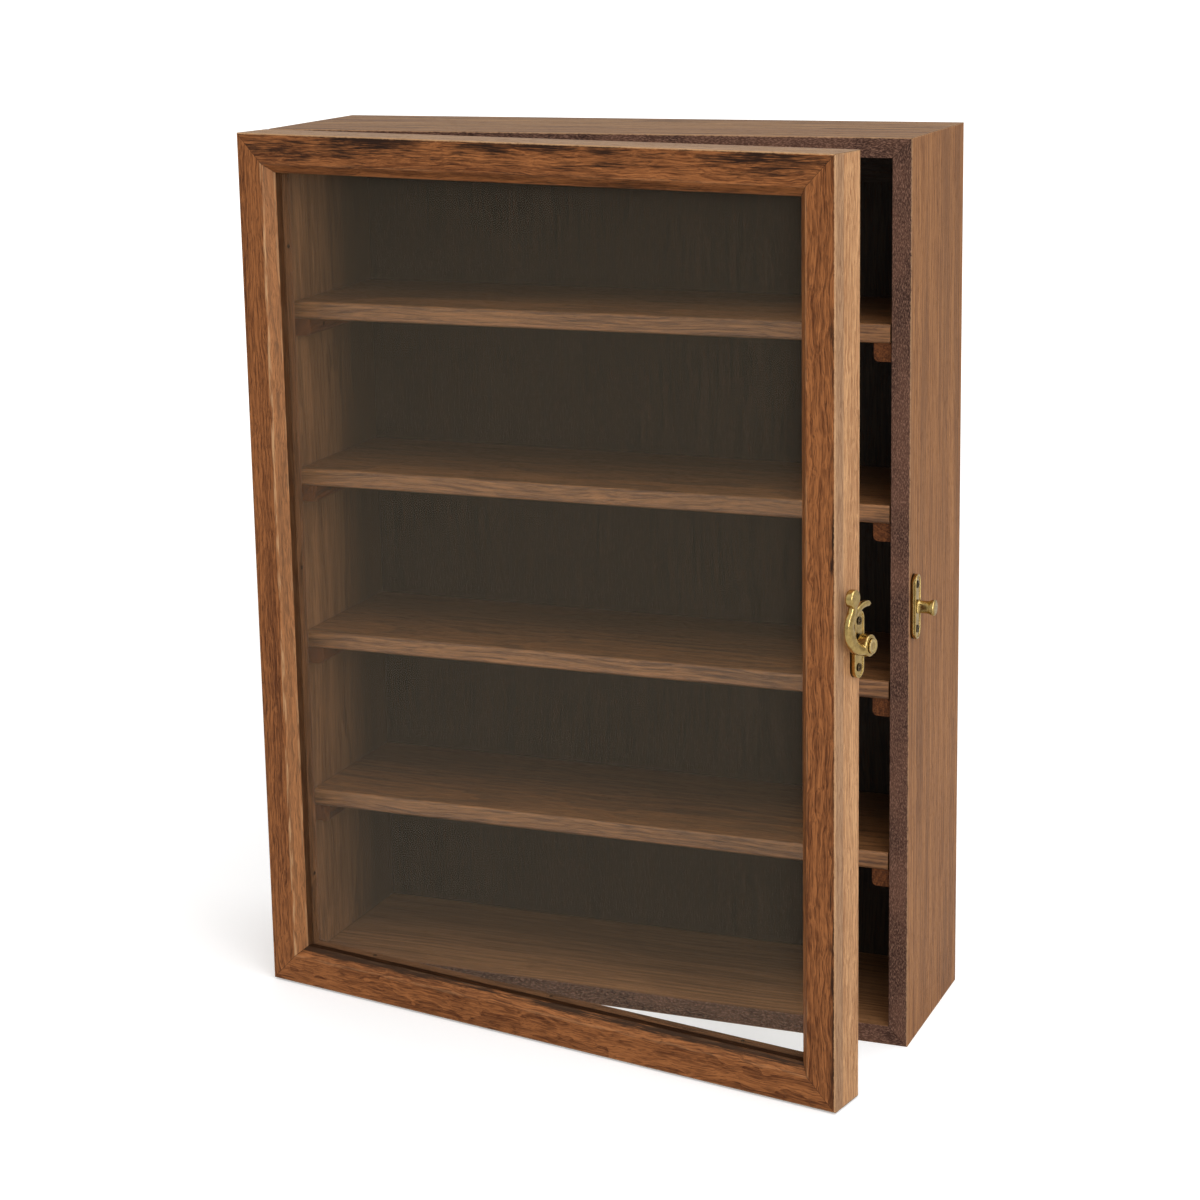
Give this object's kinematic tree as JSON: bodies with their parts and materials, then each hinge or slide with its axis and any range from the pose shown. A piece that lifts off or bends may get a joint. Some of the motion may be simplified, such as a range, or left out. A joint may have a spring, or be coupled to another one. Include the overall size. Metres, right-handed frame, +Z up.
{
  "type": "display cabinet",
  "caption": "Shallow mitred wooden display cabinet with loose shelves on cleats and a hinged glazed door closed by a brass swing hook.",
  "frame": {"origin": "middle of the case's footprint, on the surface that it stands on", "axes": "+X to the right seen from the front, +Y to the back, +Z up; the door is on the -Y side, hung at -X"},
  "size_m": [0.3308, 0.1733, 0.42],
  "materials": {
    "case_wood": "veneered board, stained brown and waxed, with dark sealed front edges",
    "back_board": "thin fibreboard, stained very dark brown",
    "dark_wood": "solid wood strip, dark stain",
    "shelf_wood": "solid wood with open straight grain, stained brown, eased edges",
    "cleat_wood": "solid wood strip, orange-brown stain",
    "door_wood": "solid wood, reddish brown, strong grain with scorched dark streaks, satin",
    "clear_glass": "clear float glass",
    "antique_brass": "antique brass, dark in the hollows and polished on the edges",
    "screw_brass": "darkened brass screws",
    "nail_steel": "bright steel nails, dulled",
    "zinc_steel": "zinc-plated steel"
  },
  "bodies": {
    "case": {"cleat_left_1": "cleat_wood", "cleat_left_2": "cleat_wood", "cleat_left_3": "cleat_wood", "cleat_left_4": "cleat_wood", "cleat_right_1": "cleat_wood", "cleat_right_2": "cleat_wood", "cleat_right_3": "cleat_wood", "cleat_right_4": "cleat_wood", "cleat_brads": "nail_steel", "hanger_left": "zinc_steel", "hanger_right": "zinc_steel", "hanger_screws": "zinc_steel", "hinge_lower_frame_leaf": "antique_brass", "hinge_upper_frame_leaf": "antique_brass", "hinge_frame_screws": "screw_brass", "catch_plate": "antique_brass", "catch_screws": "screw_brass", "catch_post": "antique_brass", "hinge_lower_pin": "antique_brass", "hinge_upper_pin": "antique_brass", "back_brads": "nail_steel", "top_panel": "case_wood", "bottom_panel": "case_wood", "left_side": "case_wood", "right_side": "case_wood", "back_panel": "back_board", "hanging_rail": "dark_wood"},
    "door": {"hinge_lower_door_leaf": "antique_brass", "hinge_upper_door_leaf": "antique_brass", "hinge_door_screws": "screw_brass", "clasp_plate": "antique_brass", "clasp_screws": "screw_brass", "clasp_pivot": "antique_brass", "door_left_stile": "door_wood", "door_right_stile": "door_wood", "door_top_rail": "door_wood", "door_bottom_rail": "door_wood", "door_glass": "clear_glass", "glazing_bead_bottom": "dark_wood", "glazing_bead_right": "dark_wood", "glazing_bead_top": "dark_wood", "glazing_bead_left": "dark_wood", "glazing_brads": "nail_steel", "door_corner_nails": "nail_steel"},
    "hook": {"clasp_hook": "antique_brass"},
    "shelf_1": {"shelf_1": "shelf_wood"},
    "shelf_2": {"shelf_2": "shelf_wood"},
    "shelf_3": {"shelf_3": "shelf_wood"},
    "shelf_4": {"shelf_4": "shelf_wood"}
  },
  "joints": [
    {"name": "door_swing", "type": "hinge", "parent": "case", "child": "door", "pos_m": [-0.1603, -0.0445, 0.21], "axis": [0, 0, -1], "range_deg": [-10.6, 159.4]},
    {"name": "hook_swing", "type": "hinge", "parent": "door", "child": "hook", "pos_m": [0.15112, -0.10807, 0.21], "axis": [-0.9829, 0.184, 0], "range_deg": [-90, 128]},
    {"name": "shelf_1_lift", "type": "slide", "parent": "case", "child": "shelf_1", "axis": [0, 0, 1], "range_m": [0, 0.054]},
    {"name": "shelf_2_lift", "type": "slide", "parent": "case", "child": "shelf_2", "axis": [0, 0, 1], "range_m": [0, 0.054]},
    {"name": "shelf_3_lift", "type": "slide", "parent": "case", "child": "shelf_3", "axis": [0, 0, 1], "range_m": [0, 0.054]},
    {"name": "shelf_4_lift", "type": "slide", "parent": "case", "child": "shelf_4", "axis": [0, 0, 1], "range_m": [0, 0.054]}
  ]
}
